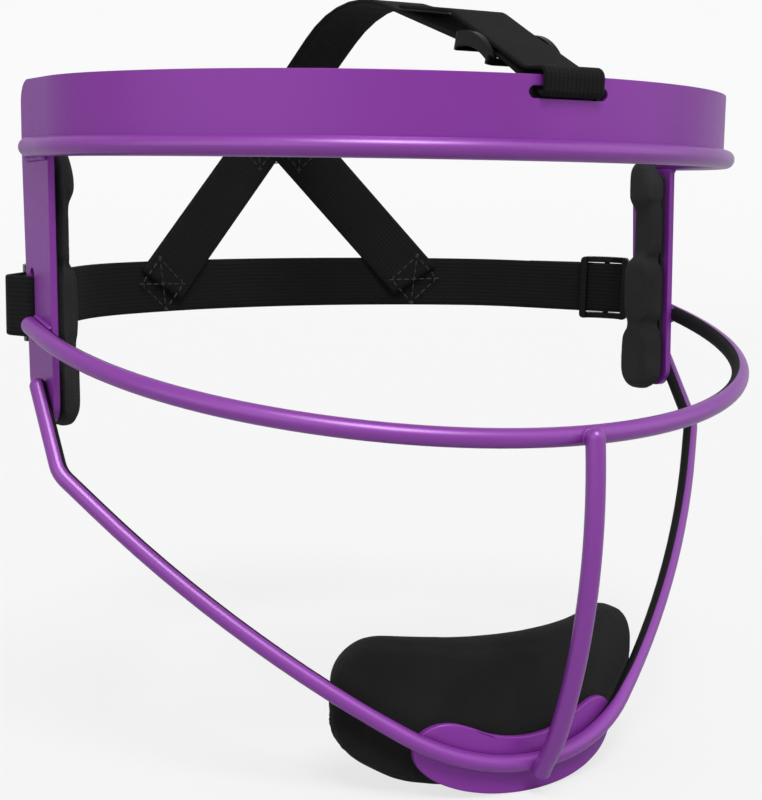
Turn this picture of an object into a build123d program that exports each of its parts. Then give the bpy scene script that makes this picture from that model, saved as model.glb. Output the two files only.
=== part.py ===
from build123d import *
import math
import os

# Fielder's face guard for softball. X points to the wearer's left, Y to the back of the head and Z up.
# The origin is the middle of the head opening, level with the brow rail and with the posts' front edges.
# Millimetres and degrees.

os.makedirs("parts", exist_ok=True)

# Sheet steel frame
inside_width = 173.0
sheet = 1.5
toe_angle = 3.0
weld_bite = 0.2
sheet_seat = 1.7
overrun = 1.0

brow_tilt = 1.7
band_reach = 72.8
band_height = 15.2
band_corner = 5.0
brow_nose_angle = 66.0

post_depth = 17.6
post_low_depth = 15.8
post_drop = 62.0
post_front_corner = 5.0
post_rear_corner = 11.0

# Bent wires
rail_radius = 2.2
rail_stand = 0.5
rail_lap = 12.5
rail_end_round = 0.7

eye_radius = 2.1
eye_tilt = 12.95
eye_drop = 42.0
eye_reach = 81.6
eye_nose_angle = 45.0
eye_lap = 9.1

jaw_radius = 1.9
jaw_slope = 48.7
jaw_reach = 84.3
jaw_nose_angle = 41.0
jaw_end_angle = 58.0
jaw_straight = 12.0
jaw_bend_radius = 8.0
jaw_top_setback = 5.5
jaw_top_drop = 53.5
jaw_corner_lead = 7.7
jaw_corner_drop = 71.7

bar_radius = 2.1
bar_bow = 5.65
bar_tail = 2.5

# Chin plate and chin pad, half outlines seen from the front, with heights from the jaw bar's nose
plate_end_angle = 38.8
plate_peak_share = 0.755
plate_low_share = 0.717
plate_top = 5.2
plate_peak = 9.7
plate_end = 3.7
plate_low = -4.1
plate_bottom = -7.3

chin_pad_nose_angle = 26.0
chin_pad_flank_radius = 200.0
chin_pad_flank_angle = 5.4
chin_pad_thickness = 8.0
chin_pad_top = 27.9
chin_pad_top_dip = 2.1
chin_pad_bottom = -7.2
chin_pad_bottom_sag = 5.3
chin_pad_top_corner = 8.0
chin_pad_bottom_corner = 9.0
chin_pad_round = 3.0

# Hook tape and the other pads
tape = 1.0
tape_round = 1.0
tape_clearance = 0.05
forehead_tape_angle = 34.0
forehead_tape_height = 9.0
forehead_tape_base = 4.5
chin_tape_half_width = 20.0
chin_tape_top = 4.2
chin_tape_bottom = -3.8
temple_tape_width = 6.0
temple_tape_height = 54.0
temple_tape_middle = 30.5

forehead_pad_angle = 42.0
forehead_pad_thickness = 8.0
forehead_pad_height = 13.0
forehead_pad_base = 2.6
crown_relief_base = 9.8
crown_relief_depth = 12.0
forehead_pad_corner = 4.5
forehead_pad_round = 2.6

temple_pad_middle = 8.2
temple_pad_thickness = 5.0
temple_pad_round = 2.2
temple_web_width = 7.0
temple_web_thickness = 3.2
temple_web_round = 1.4
upper_lobe_width = 8.6
upper_lobe_height = 12.4
upper_lobe_drop = 7.2
middle_lobe_width = 13.0
middle_lobe_height = 20.0
middle_lobe_drop = 35.8
lower_lobe_width = 14.6
lower_lobe_height = 21.0
lower_lobe_drop = 54.6
lobe_corner_share = 0.42

# Elastic webbing
webbing = 1.0
webbing_gap = 0.15
rear_webbing_width = 14.0
crown_webbing_width = 15.0

strap_drop = 35.5
strap_level_y = 20.9
strap_tilt = 2.3
strap_back = 68.3
strap_nose_angle = 24.0
strap_run_angle = 39.0
strap_run = 34.0
strap_head_setback = 18.9
strap_head_offset = 0.2
strap_head_radius = 1.5
strap_heel_behind = 1.6
strap_fold_radius = 0.9
strap_loop_setback = 19.2
strap_loop_offset = 4.3
strap_loop_radius = 2.5

slot_front = 11.2
slot_width = 2.7
slot_margin = 0.5

leg_foot_half_width = 40.0
leg_foot_drop = 33.5
leg_end_slant = 2.6
leg_top_height = 12.5
leg_above = 2.0
leg_gap = 0.35

# Crown strap, its route in the brow frame
crown_tab_y = 73.1
crown_tab_foot = -1.0
crown_tab_top = 10.0
crown_tab_radius = 9.0
crown_peak_y = 16.8
crown_peak_z = 42.0
crown_peak_radius = 55.0
crown_turn_setback = 15.2
crown_turn_z = 19.6
crown_turn_radius = 6.0
crown_slot_width = 19.6
crown_slot_height = 2.6
crown_slot_z = 11.7
crown_fold_ahead = 1.1
crown_loop_ahead = 1.5
crown_loop_z = 16.9
crown_loop_radius = 2.2

# Three-bar sliders
rear_slider_length = 14.0
rear_slider_start = 1.3
crown_slider_length = 16.0
crown_slider_start = 0.6
slider_rail = 1.6
slider_side_gap = 0.35
slider_gap = 0.25
slider_end_bar = 1.9
slider_end_bar_thickness = 1.3
slider_anchor_top = -0.3
slider_far_top = 1.4
slider_crest = 3.1
slider_crest_share = 0.58
slider_arch = 0.0
slider_corner = 1.2
slider_pin_radius = 0.8

# Free tails of the webbing, beyond the slider's pin
tail_flat = 4.0
tail_knee_share = 0.4
tail_lift = 1.8
tail_rest = 0.3
tail_rise_radius = 4.0
tail_knee_radius = 8.0
rear_tail = 23.5
crown_tail = 38.0

toe = math.radians(toe_angle)
post_outer = inside_width / 2 + sheet
brow_plane = Plane.XY.rotated((brow_tilt, 0, 0))
post_plane = Plane(
    origin=(post_outer, 0, 0),
    x_dir=(math.sin(toe), math.cos(toe), 0),
    z_dir=(math.cos(toe), -math.sin(toe), 0),
)
inner_plane = post_plane.offset(-sheet)


def hoop_radii(half_width, reach, nose_angle, end_angle):
    """Radii of the nose arc and the flank arc that together make half a hoop."""
    nose_sin, end_sin = math.sin(math.radians(nose_angle)), math.sin(math.radians(end_angle))
    nose_cos, end_cos = math.cos(math.radians(nose_angle)), math.cos(math.radians(end_angle))
    scale = nose_sin * (nose_cos - end_cos) - (end_sin - nose_sin) * (1 - nose_cos)
    nose_radius = (half_width * (nose_cos - end_cos) - reach * (end_sin - nose_sin)) / scale
    flank_radius = (reach * nose_sin - half_width * (1 - nose_cos)) / scale
    return nose_radius, flank_radius


def hoop_wire(plane, half_width, reach, nose_angle, end_angle, run):
    """Bent-wire route: nose arc, two flank arcs and two straight ends, symmetrical about X = 0."""
    nose_radius, flank_radius = hoop_radii(half_width, reach, nose_angle, end_angle)
    with BuildLine() as route:
        nose = JernArc((0, -reach), (1, 0), nose_radius, nose_angle)
        flank = JernArc(nose @ 1, nose % 1, flank_radius, end_angle - nose_angle)
        Line(flank @ 1, flank @ 1 + flank % 1 * run)
        mirror(about=Plane.YZ)
    return route.wire().moved(plane.location)


def round_wire(route, radius, rounded=True):
    """A round wire swept along the route, with ball ends where it ends in the open."""
    with BuildSketch(Plane(origin=route @ 0, z_dir=route % 0)) as section:
        Circle(radius)
    sweep(section.sketch, path=route)
    if rounded:
        with Locations(route @ 0, route @ 1):
            Sphere(radius)


# Brow band: one strip of sheet from post to post, with the crown strap's slot at the front
band_radii = hoop_radii(post_outer, band_reach, brow_nose_angle, 90 - toe_angle)
with BuildPart() as brow_band:
    with BuildSketch(brow_plane.offset(sheet_seat)):
        with BuildLine():
            edge_ends = []
            for inset in (0, sheet):
                nose = JernArc((0, inset - band_reach), (1, 0), band_radii[0] - inset, brow_nose_angle)
                flank = JernArc(
                    nose @ 1, nose % 1, band_radii[1] - inset, 90 - toe_angle - brow_nose_angle
                )
                edge_ends.append(Line(flank @ 1, flank @ 1 + flank % 1 * post_depth) @ 1)
            Line(*edge_ends)
            Line((0, -band_reach), (0, sheet - band_reach))
        make_face()
        mirror(about=Plane.YZ)
    extrude(amount=band_height - sheet_seat)
    rear_edges = brow_band.edges().filter_by(lambda e: e.length < sheet * 1.1).sort_by(Axis.Y)[-4:]
    fillet(rear_edges.sort_by(Axis.Z)[-2:], band_corner)
    with BuildSketch(Plane(origin=(0, 0, 0), x_dir=(1, 0, 0), z_dir=-brow_plane.y_dir)):
        with Locations((0, crown_slot_z)):
            SlotOverall(crown_slot_width, crown_slot_height)
    extrude(amount=band_reach + sheet, mode=Mode.SUBTRACT)
brow_band.part.label = "brow_band"

# Brow rail: a round wire along the band's lower edge, from one post's rear edge to the other's
with BuildPart() as brow_rail:
    round_wire(
        hoop_wire(
            brow_plane, post_outer + rail_stand, band_reach + rail_stand,
            brow_nose_angle, 90 - toe_angle, rail_lap,
        ),
        rail_radius,
        rounded=False,
    )
    fillet(brow_rail.edges().filter_by(GeomType.CIRCLE).group_by(Axis.Y)[-1], rail_end_round)
brow_rail.part.label = "brow_rail"

# Temple posts: sheet uprights that hang from the rail's ends, slotted for the rear strap
with BuildPart() as left_temple_post:
    with BuildSketch(inner_plane) as post_face:
        with BuildLine():
            Polyline(
                (0, -sheet_seat),
                (post_depth, post_depth * math.sin(math.radians(brow_tilt)) - sheet_seat),
                (post_low_depth, -post_drop),
                (0, -post_drop),
                close=True,
            )
        make_face()
        low_corners = post_face.vertices().group_by(Axis.Y)[0].sort_by(Axis.X)
        fillet(low_corners[0], post_front_corner)
        fillet(post_face.vertices().group_by(Axis.Y)[0].sort_by(Axis.X)[-1], post_rear_corner)
        with Locations((slot_front + slot_width / 2, -strap_drop)):
            SlotOverall(
                rear_webbing_width + slot_width + slot_margin, slot_width, rotation=90, mode=Mode.SUBTRACT
            )
    extrude(amount=sheet)
left_temple_post.part.label = "left_temple_post"

with BuildPart() as right_temple_post:
    mirror(left_temple_post.part, about=Plane.YZ)
right_temple_post.part.label = "right_temple_post"

# Eye bar: the long hoop under the eyes, its ends lapped over the posts' outer faces
eye_plane = Plane(origin=(0, 0, -eye_drop)).rotated((eye_tilt, 0, 0))
with BuildPart() as eye_bar:
    round_wire(
        hoop_wire(
            eye_plane, post_outer + eye_radius - weld_bite, eye_reach,
            eye_nose_angle, 90 - toe_angle, eye_lap,
        ),
        eye_radius,
    )
eye_bar.part.label = "eye_bar"

# Jaw bar: one wire from post to post round the chin, bent forward below each post
jaw_top = post_plane.from_local_coords((jaw_top_setback, -jaw_top_drop, jaw_radius - weld_bite))
jaw_corner = post_plane.from_local_coords((-jaw_corner_lead, -jaw_corner_drop, jaw_radius - weld_bite))
jaw_plane = Plane(origin=(0, jaw_corner.Y, jaw_corner.Z)).rotated((jaw_slope, 0, 0))
straight_out = Vector(
    math.cos(math.radians(jaw_end_angle)), math.sin(math.radians(jaw_end_angle))
) * jaw_straight
jaw_radii = hoop_radii(
    jaw_corner.X - straight_out.X, jaw_reach - straight_out.Y, jaw_nose_angle, jaw_end_angle
)
with BuildLine() as chin_curve:
    jaw_nose_arc = JernArc((0, -jaw_reach), (1, 0), jaw_radii[0], jaw_nose_angle)
    JernArc(jaw_nose_arc @ 1, jaw_nose_arc % 1, jaw_radii[1], jaw_end_angle - jaw_nose_angle)
chin_wire = chin_curve.wire().moved(jaw_plane.location)
up_post = (jaw_top - jaw_corner).normalized()
down_flank = (chin_wire @ 1 - jaw_corner).normalized()
bend_reach = jaw_bend_radius / math.tan(math.radians(up_post.get_angle(down_flank)) / 2)
bend_low = jaw_corner + down_flank * bend_reach
bend_high = jaw_corner + up_post * bend_reach
with BuildLine() as jaw_route:
    add(chin_wire.edges())
    Line(chin_wire @ 1, bend_low)
    TangentArc(bend_low, bend_high, tangent=jaw_corner - bend_low)
    Line(bend_high, jaw_top)
    mirror(about=Plane.YZ)
with BuildPart() as jaw_bar:
    round_wire(jaw_route.wire(), jaw_radius)
jaw_bar.part.label = "jaw_bar"

# Centre bar: bowed wire down the middle, lapped over the front of the eye bar and of the jaw bar
eye_nose = eye_plane.from_local_coords((0, -eye_reach))
jaw_nose = jaw_plane.from_local_coords((0, -jaw_reach))
bar_top = Vector(eye_nose.Y - eye_radius - bar_radius + weld_bite, eye_nose.Z)
bar_chord = Vector(jaw_nose.Y, jaw_nose.Z) - bar_top
bar_half_turn = 2 * math.atan(2 * bar_bow / bar_chord.length)
bar_foot_heading = math.atan2(bar_chord.Y, bar_chord.X) + bar_half_turn
bar_foot_side = Vector(math.sin(bar_foot_heading), -math.cos(bar_foot_heading))
bar_foot = Vector(jaw_nose.Y, jaw_nose.Z) + bar_foot_side * (jaw_radius + bar_radius - weld_bite)
with BuildLine() as bar_route:
    bow = SagittaArc(bar_top, bar_foot, -bar_bow)
    Line(bow @ 1, bow @ 1 + bow % 1 * bar_tail)
with BuildPart() as centre_bar:
    bar_wire = bar_route.wire().moved(Plane.YZ.location)
    round_wire(bar_wire, bar_radius, rounded=False)
    with Locations(bar_wire @ 0):
        Sphere(bar_radius)
centre_bar.part.label = "centre_bar"

# Chin plate: curved sheet inside the jaw bar's nose, shaped like a shallow saddle seen from the front
chin_level = jaw_nose.Z
plate_wrap = jaw_radii[0] - jaw_radius + weld_bite
plate_wrap_depth = jaw_radii[0] * math.cos(math.radians(jaw_slope)) - jaw_radius + weld_bite
plate_centre_y = jaw_nose.Y + jaw_radius - weld_bite + plate_wrap_depth
plate_half_width = plate_wrap * math.sin(math.radians(plate_end_angle))


def wrapped_shell(wrap, wrap_depth, thickness, centre_y, bottom, top):
    """Upright elliptical shell, cut to its front half, that a front outline is then cut from."""
    with BuildSketch(Plane.XY.offset(bottom)) as section:
        with Locations((0, centre_y)):
            Ellipse(wrap, wrap_depth)
            Ellipse(wrap - thickness, wrap_depth - thickness, mode=Mode.SUBTRACT)
            Rectangle(2 * wrap, 2 * wrap_depth, align=(Align.CENTER, Align.MIN), mode=Mode.SUBTRACT)
    extrude(section.sketch, amount=top - bottom)


with BuildPart() as chin_plate:
    wrapped_shell(
        plate_wrap, plate_wrap_depth, sheet, plate_centre_y,
        chin_level + 2 * plate_bottom, chin_level + 2 * plate_peak,
    )
    with BuildSketch(Plane.XZ):
        with BuildLine():
            plate_side = (
                (plate_half_width * plate_peak_share, chin_level + plate_peak),
                (plate_half_width, chin_level + plate_end),
                (plate_half_width * plate_low_share, chin_level + plate_low),
            )
            Spline(
                (0, chin_level + plate_top),
                *plate_side,
                (0, chin_level + plate_bottom),
                *[(-x, z) for x, z in reversed(plate_side)],
                periodic=True,
            )
        make_face()
    extrude(amount=post_outer, mode=Mode.INTERSECT)
chin_plate.part.label = "chin_plate"

# Chin pad: moulded foam cup, dipped in the middle of its top edge. The arc of its nose rests on the tape
# in the middle of the plate and meets the tape's level again at the plate's ends.
tape_wrap, tape_wrap_depth = plate_wrap - sheet - tape, plate_wrap_depth - sheet - tape
plate_curl = tape_wrap_depth * (1 - math.sqrt(1 - (plate_half_width / tape_wrap) ** 2))
pad_front_y = plate_centre_y - tape_wrap_depth + tape_clearance
pad_nose_radius = (plate_half_width**2 + plate_curl**2) / (2 * plate_curl)
pad_low_z = chin_level + chin_pad_bottom
pad_high_z = chin_level + chin_pad_top
with BuildPart() as chin_pad:
    with BuildSketch(Plane.XY.offset(pad_low_z - overrun)):
        with BuildLine():
            wall_ends = []
            for inset in (0, chin_pad_thickness):
                nose = JernArc((0, pad_front_y + inset), (1, 0), pad_nose_radius - inset, chin_pad_nose_angle)
                flank = JernArc(nose @ 1, nose % 1, chin_pad_flank_radius - inset, chin_pad_flank_angle)
                wall_ends.append(flank @ 1)
            pad_half_width = wall_ends[0].X + overrun
            Line(*wall_ends)
            Line((0, pad_front_y), (0, pad_front_y + chin_pad_thickness))
        make_face()
        mirror(about=Plane.YZ)
    extrude(amount=pad_high_z - pad_low_z + chin_pad_top_dip + 2 * overrun)
    with BuildSketch(Plane.XZ):
        with BuildLine():
            upper = SagittaArc(
                (pad_half_width, pad_high_z + chin_pad_top_dip),
                (-pad_half_width, pad_high_z + chin_pad_top_dip),
                chin_pad_top_dip,
            )
            lower = SagittaArc(
                (-pad_half_width, pad_low_z + chin_pad_bottom_sag),
                (pad_half_width, pad_low_z + chin_pad_bottom_sag),
                -chin_pad_bottom_sag,
            )
            Line(upper @ 1, lower @ 0)
            Line(lower @ 1, upper @ 0)
        make_face()
    extrude(amount=post_outer, mode=Mode.INTERSECT)
    for corner_ends, corner_radius in ((-1, chin_pad_top_corner), (0, chin_pad_bottom_corner)):
        across = chin_pad.edges().filter_by(GeomType.ELLIPSE)
        fillet(across.group_by(Axis.Z)[corner_ends], corner_radius)
    # The four long edges across the nose lead the rounding on round both ends
    fillet(chin_pad.edges().sort_by(lambda e: abs(e.center().X))[:4], chin_pad_round)
chin_pad.part.label = "chin_pad"

with BuildPart() as chin_tape:
    wrapped_shell(
        plate_wrap - sheet, plate_wrap_depth - sheet, tape, plate_centre_y,
        chin_level + chin_tape_bottom - overrun, chin_level + chin_tape_top + overrun,
    )
    with BuildSketch(Plane.XZ):
        with Locations((0, chin_level + (chin_tape_top + chin_tape_bottom) / 2)):
            RectangleRounded(2 * chin_tape_half_width, chin_tape_top - chin_tape_bottom, tape_round)
    extrude(amount=post_outer, mode=Mode.INTERSECT)
chin_tape.part.label = "chin_tape"


def brow_sector(outer_reach, thickness, base, height, half_angle):
    """Block that follows the inside of the band's nose, between two angles either side of the middle."""
    outer = band_radii[0] - (band_reach - outer_reach)
    with BuildSketch(brow_plane.offset(base)) as section:
        with BuildLine():
            front = CenterArc((0, outer - outer_reach), outer, -90 - half_angle, 2 * half_angle)
            back = CenterArc((0, outer - outer_reach), outer - thickness, -90 - half_angle, 2 * half_angle)
            Line(front @ 0, back @ 0)
            Line(front @ 1, back @ 1)
        make_face()
    extrude(section.sketch, amount=height)


def crown_relief():
    """Clears the crown strap's way down behind the band to the slot."""
    with BuildSketch(brow_plane.offset(crown_relief_base)) as relief:
        with Locations((0, -band_reach)):
            Rectangle(
                crown_webbing_width + 2 * slot_margin, crown_relief_depth, align=(Align.CENTER, Align.MIN)
            )
    extrude(relief.sketch, amount=band_height, mode=Mode.SUBTRACT)


# Forehead tape and pad, hidden behind the band
with BuildPart() as forehead_tape:
    brow_sector(
        band_reach - sheet, tape, forehead_tape_base, forehead_tape_height, forehead_tape_angle
    )
    crown_relief()
forehead_tape.part.label = "forehead_tape"

with BuildPart() as forehead_pad:
    brow_sector(
        band_reach - sheet - tape - tape_clearance, forehead_pad_thickness, forehead_pad_base,
        forehead_pad_height, forehead_pad_angle,
    )
    fillet(forehead_pad.edges().filter_by(GeomType.LINE).group_by(SortBy.LENGTH)[0], forehead_pad_corner)
    fillet(forehead_pad.edges().sort_by(lambda e: abs(e.center().X))[:4], forehead_pad_round)
    crown_relief()
forehead_pad.part.label = "forehead_pad"

# Temple tapes and pads: three soft lobes on a thin web, relieved where the strap runs behind them
with BuildPart() as left_temple_tape:
    with BuildSketch(inner_plane):
        with Locations((temple_pad_middle - temple_tape_width / 2, -temple_tape_middle)):
            RectangleRounded(temple_tape_width, temple_tape_height, tape_round)
    extrude(amount=-tape)
left_temple_tape.part.label = "left_temple_tape"

pad_back_plane = inner_plane.offset(-tape - tape_clearance)


def soft_block(drop, width, height, thickness, edge_round):
    """Upright foam block on the pad's back plane, rounded at its corners and round its face."""
    with BuildPart() as block:
        with BuildSketch(pad_back_plane):
            with Locations((temple_pad_middle, -drop)):
                RectangleRounded(width, height, width * lobe_corner_share)
        extrude(amount=-thickness)
        fillet(block.faces().sort_by(Axis.X)[0].edges(), edge_round)
    return block.part


pad_web = soft_block(
    (upper_lobe_drop + lower_lobe_drop) / 2, temple_web_width, lower_lobe_drop - upper_lobe_drop,
    temple_web_thickness, temple_web_round,
)
pad_lobes = [
    soft_block(lobe_drop, lobe_width, lobe_height, temple_pad_thickness, temple_pad_round)
    for lobe_width, lobe_height, lobe_drop in (
        (upper_lobe_width, upper_lobe_height, upper_lobe_drop),
        (middle_lobe_width, middle_lobe_height, middle_lobe_drop),
        (lower_lobe_width, lower_lobe_height, lower_lobe_drop),
    )
]
with BuildPart() as left_temple_pad:
    add(pad_web)
    add(pad_lobes)
    with BuildSketch(inner_plane):
        with Locations((slot_front - webbing, -strap_drop)):
            Rectangle(
                post_depth, rear_webbing_width + 2 * slot_margin, align=(Align.MIN, Align.CENTER)
            )
    extrude(amount=-(webbing + 2 * slot_margin), mode=Mode.SUBTRACT)
left_temple_pad.part.label = "left_temple_pad"

with BuildPart() as right_temple_tape:
    mirror(left_temple_tape.part, about=Plane.YZ)
right_temple_tape.part.label = "right_temple_tape"

with BuildPart() as right_temple_pad:
    mirror(left_temple_pad.part, about=Plane.YZ)
right_temple_pad.part.label = "right_temple_pad"

# Rear strap: webbing round the back of the head. At each post it runs along the inner face, out through
# the slot and back along the outer face, where the slider's return layer takes over.
strap_plane = Plane(origin=(0, strap_level_y, -strap_drop)).rotated((strap_tilt, 0, 0))
layer = webbing / 2 + webbing_gap
pin_height = webbing / 2 + slider_gap + slider_pin_radius
return_height = pin_height + slider_pin_radius + slider_gap + webbing / 2


def strap_point(setback, offset):
    """Point in the strap's plane, from its setback along a post and its offset from the outer face."""
    place = post_plane.from_local_coords((setback, 0, offset))
    return Vector(place.X, place.Y - strap_level_y)


def tail_points(head, run, lift, pin, reach):
    """Outer layer beyond the slider's pin: level over the pin, up to a knee, down to the main strap."""
    return [
        head + run * along + lift * height
        for along, height in (
            (pin + tail_flat, return_height),
            (pin + reach * tail_knee_share, return_height + tail_lift),
            (pin + reach, webbing + tail_rest),
        )
    ]


run_angle = math.radians(strap_run_angle)
along_run = Vector(-math.sin(run_angle), math.cos(run_angle))
run_normal = Vector(math.cos(run_angle), math.sin(run_angle))
slot_middle = slot_front + slot_width / 2
strap_head = strap_point(strap_head_setback, strap_head_offset)
run_end = strap_head + along_run * strap_run
strap_radii = hoop_radii(
    run_end.X, strap_back - strap_level_y - run_end.Y, strap_nose_angle, 90 - strap_run_angle
)
with BuildLine() as strap_line:
    nape = JernArc((0, strap_back - strap_level_y), (1, 0), strap_radii[0], -strap_nose_angle)
    flank = JernArc(nape @ 1, nape % 1, strap_radii[1], strap_nose_angle + strap_run_angle - 90)
    FilletPolyline(
        flank @ 1,
        strap_head,
        strap_point(post_low_depth + strap_heel_behind, -sheet - layer),
        strap_point(slot_middle, -sheet - layer),
        strap_point(slot_middle, layer),
        strap_point(strap_loop_setback, strap_loop_offset),
        *tail_points(
            strap_head, along_run, run_normal, rear_slider_start + rear_slider_length / 2, rear_tail
        ),
        radius=[
            strap_head_radius, strap_fold_radius, strap_fold_radius, strap_fold_radius,
            strap_loop_radius, tail_rise_radius, tail_knee_radius,
        ],
    )
    mirror(about=Plane.YZ)
strap_route = strap_line.wire().moved(strap_plane.location)
with BuildPart() as rear_strap:
    with BuildSketch(Plane(origin=strap_route @ 0, x_dir=strap_plane.z_dir, z_dir=strap_route % 0)):
        Rectangle(rear_webbing_width, webbing)
    sweep(path=strap_route)
rear_strap.part.label = "rear_strap"

# Crown legs: two strips sewn inside the rear strap, rising to meet in a V under the crown strap's tab
leg_foot_angle = math.asin(leg_foot_half_width / strap_radii[0])
leg_foot_y = strap_back - strap_radii[0] * (1 - math.cos(leg_foot_angle)) - webbing - leg_gap
leg_foot = Vector(leg_foot_half_width, leg_foot_y, -leg_foot_drop)
leg_top = Vector(0, crown_tab_y - webbing - leg_gap, leg_top_height)
leg_rise = (leg_top - leg_foot).normalized()
leg_length = (leg_top - leg_foot).length + leg_above
with BuildPart() as left_crown_leg:
    with BuildSketch(Plane(origin=leg_foot, x_dir=leg_rise, z_dir=leg_rise.cross(Vector(0, 0, 1)))):
        Polygon(
            (leg_end_slant / 2, -crown_webbing_width / 2),
            (leg_length, -crown_webbing_width / 2),
            (leg_length, crown_webbing_width / 2),
            (-leg_end_slant / 2, crown_webbing_width / 2),
            align=None,
        )
    extrude(amount=webbing / 2, both=True)
    split(bisect_by=Plane.YZ, keep=Keep.TOP)
left_crown_leg.part.label = "left_crown_leg"

with BuildPart() as right_crown_leg:
    mirror(left_crown_leg.part, about=Plane.YZ)
right_crown_leg.part.label = "right_crown_leg"

# Crown strap: up from the V, over the head, down through the brow band's slot, up over the band's top
# edge and back through the slider, its free tail lying on top
crown_plane = Plane(origin=(0, 0, 0), x_dir=brow_plane.y_dir, z_dir=(1, 0, 0))
crown_peak = Vector(crown_peak_y, crown_peak_z)
crown_turn = Vector(crown_turn_setback - band_reach, crown_turn_z)
crown_slot = Vector(sheet / 2 - band_reach, crown_slot_z)
crown_run = (crown_peak - crown_turn).normalized()
crown_lift = Vector(-crown_run.Y, crown_run.X)
into_slot = (crown_slot - crown_turn).normalized()
with BuildLine() as crown_line:
    FilletPolyline(
        (crown_tab_y, crown_tab_foot),
        (crown_tab_y, crown_tab_top),
        crown_peak,
        crown_turn,
        crown_slot + into_slot * ((sheet / 2 + crown_fold_ahead) / -into_slot.X),
        (-band_reach - crown_loop_ahead, crown_loop_z),
        *tail_points(
            crown_turn, crown_run, crown_lift, crown_slider_start + crown_slider_length / 2, crown_tail
        ),
        radius=[
            crown_tab_radius, crown_peak_radius, crown_turn_radius, strap_fold_radius,
            crown_loop_radius, tail_rise_radius, tail_knee_radius,
        ],
    )
crown_route = crown_line.wire().moved(crown_plane.location)
with BuildPart() as crown_strap:
    with BuildSketch(Plane(origin=crown_route @ 0, x_dir=(1, 0, 0), z_dir=crown_route % 0)):
        Rectangle(crown_webbing_width, webbing)
    sweep(path=crown_route)
crown_strap.part.label = "crown_strap"

# Sliders: moulded frames with two end bars inside the webbing and a pin between its layers, in a frame
# with X along the webbing, away from its anchor, and Z away from the head
slider_floor = -(webbing / 2 + slider_gap + slider_end_bar_thickness)


def slider_body(plane, length, webbing_width):
    """Arched side rails, two flat end bars and a round pin, with rounded corners seen from above."""
    opening = webbing_width + 2 * slider_side_gap
    breadth = opening + 2 * slider_rail
    side_plane = Plane(origin=plane.origin, x_dir=plane.x_dir, z_dir=-plane.y_dir)
    with BuildSketch(side_plane) as profile:
        with BuildLine():
            under = ThreePointArc((0, slider_floor), (length / 2, slider_arch), (length, slider_floor))
            over = ThreePointArc(
                (length, slider_far_top),
                (length * slider_crest_share, slider_crest),
                (0, slider_anchor_top),
            )
            Line(under @ 1, over @ 0)
            Line(over @ 1, under @ 0)
        make_face()
    extrude(profile.sketch, amount=breadth / 2, both=True)
    with BuildSketch(plane.offset(slider_floor)) as window:
        Rectangle(length, opening, align=(Align.MIN, Align.CENTER))
    extrude(window.sketch, amount=slider_crest - slider_floor, mode=Mode.SUBTRACT)
    with BuildSketch(plane.offset(slider_floor)) as end_bars:
        for place, side in ((0, Align.MIN), (length, Align.MAX)):
            with Locations((place, 0)):
                Rectangle(slider_end_bar, breadth, align=(side, Align.CENTER))
    extrude(end_bars.sketch, amount=slider_end_bar_thickness)
    with BuildSketch(side_plane) as pin:
        with Locations((length / 2, pin_height)):
            Circle(slider_pin_radius)
    extrude(pin.sketch, amount=breadth / 2, both=True)
    with BuildSketch(plane.offset(slider_floor)) as outline:
        with Locations((length / 2, 0)):
            RectangleRounded(length, breadth, slider_corner)
    extrude(outline.sketch, amount=slider_crest - slider_floor, mode=Mode.INTERSECT)


run_start = strap_plane.from_local_coords(strap_head + along_run * rear_slider_start)
run_heading = strap_plane.from_local_coords(run_end) - run_start
with BuildPart() as left_strap_slider:
    slider_body(
        Plane(origin=run_start, x_dir=run_heading, z_dir=run_heading.cross(strap_plane.z_dir)),
        rear_slider_length,
        rear_webbing_width,
    )
left_strap_slider.part.label = "left_strap_slider"

with BuildPart() as right_strap_slider:
    mirror(left_strap_slider.part, about=Plane.YZ)
right_strap_slider.part.label = "right_strap_slider"

with BuildPart() as crown_strap_slider:
    slider_body(
        Plane(
            origin=crown_plane.from_local_coords(crown_turn + crown_run * crown_slider_start),
            x_dir=crown_plane.from_local_coords(crown_run),
            z_dir=crown_plane.from_local_coords(crown_lift),
        ),
        crown_slider_length,
        crown_webbing_width,
    )
crown_strap_slider.part.label = "crown_strap_slider"

for piece in (
    brow_band, brow_rail, left_temple_post, right_temple_post, eye_bar, jaw_bar, centre_bar,
    chin_plate, chin_pad, chin_tape, forehead_tape, forehead_pad, left_temple_tape,
    right_temple_tape, left_temple_pad, right_temple_pad, rear_strap, left_crown_leg,
    right_crown_leg, crown_strap, left_strap_slider, right_strap_slider, crown_strap_slider,
):
    export_step(piece.part, f"parts/{piece.part.label}.step")
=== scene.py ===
# %% [markdown]
# # A fielder's face guard for softball
# The guard is a steel frame that hangs in front of the face. A sheet band runs across the brow, a round
# rail closes its lower edge, and two uprights drop from the rail past the temples. Three bent wires
# carry the load of a ball: one under the eyes, one round the jaw and one down the middle.
# Foam pads touch the head, and elastic webbing with sliding buckles holds the guard on.
# The frame is exact geometry already, so this lesson is about what makes it look real: powder coat,
# woven elastic, soft foam, thread, weld beads and light.

# %% Load the frame
import math
from contextlib import contextmanager

import bpy
import bmesh
from mathutils import Matrix, Vector


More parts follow.
